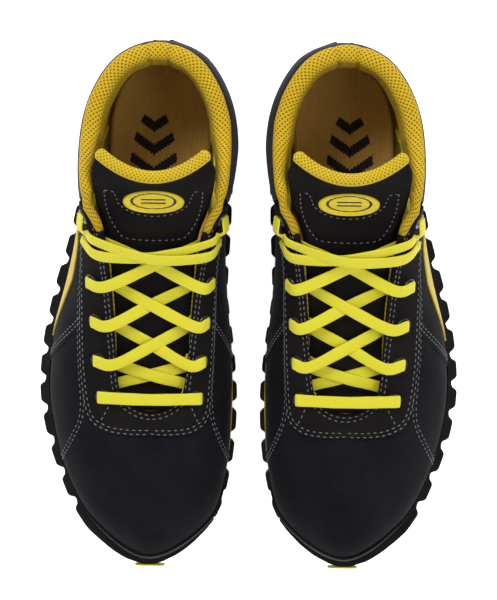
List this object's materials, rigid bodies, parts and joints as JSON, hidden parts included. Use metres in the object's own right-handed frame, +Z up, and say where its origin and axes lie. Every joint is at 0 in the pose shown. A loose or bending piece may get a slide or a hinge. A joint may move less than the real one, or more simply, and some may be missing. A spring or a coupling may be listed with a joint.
{
  "type": "pair of laced ankle boots",
  "caption": "Pair of laced ankle boots with lugged rubber soles, protective toe caps, padded mesh-lined collars, padded tongues and flat laces.",
  "frame": {"origin": "centre of the pair on the floor, under the middle of its overall box", "axes": "+Z up, toes towards -Y, heels towards +Y, the right boot at -X and the left boot at +X"},
  "size_m": [0.239, 0.3006, 0.1684],
  "materials": {
    "outsole_rubber": "matt moulded rubber",
    "midsole_foam": "matt polyurethane foam",
    "shank_steel": "plain",
    "board": "pressed fibre",
    "footbed_fabric": "ribbed textile over foam",
    "toe_cap_shell": "moulded composite",
    "counter": "moulded thermoplastic",
    "lining_mesh": "spacer mesh",
    "nubuck": "nubuck, fine nap",
    "collar_textile": "plain textile",
    "foam": "soft foam",
    "facing_leather": "nubuck, fine nap",
    "eyelet_metal": "black enamel",
    "stripe": "soft satin film",
    "bumper": "matt rubber coating",
    "tab": "matt rubber",
    "tongue_leather": "nubuck over foam",
    "binding_mesh": "mesh tape",
    "label": "satin rubber",
    "lace_cord": "flat woven polyester",
    "aglet_plastic": "clear glossy wrap"
  },
  "bodies": {
    "right_boot": {"right_outsole": "outsole_rubber", "right_midsole": "midsole_foam", "right_shank": "shank_steel", "right_insole_board": "board", "right_toe_cap": "toe_cap_shell", "right_heel_counter": "counter", "right_lining": "lining_mesh", "right_vamp": "nubuck", "right_lateral_side_panel": "nubuck", "right_medial_side_panel": "nubuck", "right_lateral_quarter": "nubuck", "right_medial_quarter": "nubuck", "right_heel_panel": "nubuck", "right_collar_panel": "collar_textile", "right_collar_foam": "foam", "right_collar_roll": "lining_mesh", "right_facing": "facing_leather", "right_eyelets": "eyelet_metal", "right_side_stripe": "stripe", "right_toe_bumper": "bumper", "right_toe_tab": "tab", "right_lace": "lace_cord", "right_aglets": "aglet_plastic"},
    "right_tongue_flap": {"right_tongue": "tongue_leather", "right_tongue_binding": "binding_mesh", "right_tongue_label": "label"},
    "right_insole": {"right_footbed": "footbed_fabric"},
    "left_boot": {"left_outsole": "outsole_rubber", "left_midsole": "midsole_foam", "left_shank": "shank_steel", "left_insole_board": "board", "left_toe_cap": "toe_cap_shell", "left_heel_counter": "counter", "left_lining": "lining_mesh", "left_vamp": "nubuck", "left_lateral_side_panel": "nubuck", "left_medial_side_panel": "nubuck", "left_lateral_quarter": "nubuck", "left_medial_quarter": "nubuck", "left_heel_panel": "nubuck", "left_collar_panel": "collar_textile", "left_collar_foam": "foam", "left_collar_roll": "lining_mesh", "left_facing": "facing_leather", "left_eyelets": "eyelet_metal", "left_side_stripe": "stripe", "left_toe_bumper": "bumper", "left_toe_tab": "tab", "left_lace": "lace_cord", "left_aglets": "aglet_plastic"},
    "left_tongue_flap": {"left_tongue": "tongue_leather", "left_tongue_binding": "binding_mesh", "left_tongue_label": "label"},
    "left_insole": {"left_footbed": "footbed_fabric"}
  },
  "joints": [
    {"name": "left_boot_lift", "type": "slide", "parent": "right_boot", "child": "left_boot", "axis": [0, 0, 1], "range_m": [0, 0.3]},
    {"name": "right_tongue_fold", "type": "hinge", "parent": "right_boot", "child": "right_tongue_flap", "pos_m": [0, -0.08, 0.068], "axis": [1, 0, 0], "range_deg": [-8, 0]},
    {"name": "right_insole_lift", "type": "hinge", "parent": "right_boot", "child": "right_insole", "pos_m": [0, -0.129, 0.032], "axis": [1, 0, 0], "range_deg": [0, 4]},
    {"name": "left_tongue_fold", "type": "hinge", "parent": "left_boot", "child": "left_tongue_flap", "pos_m": [0, -0.08, 0.068], "axis": [1, 0, 0], "range_deg": [-8, 0]},
    {"name": "left_insole_lift", "type": "hinge", "parent": "left_boot", "child": "left_insole", "pos_m": [0, -0.129, 0.032], "axis": [1, 0, 0], "range_deg": [0, 4]}
  ]
}
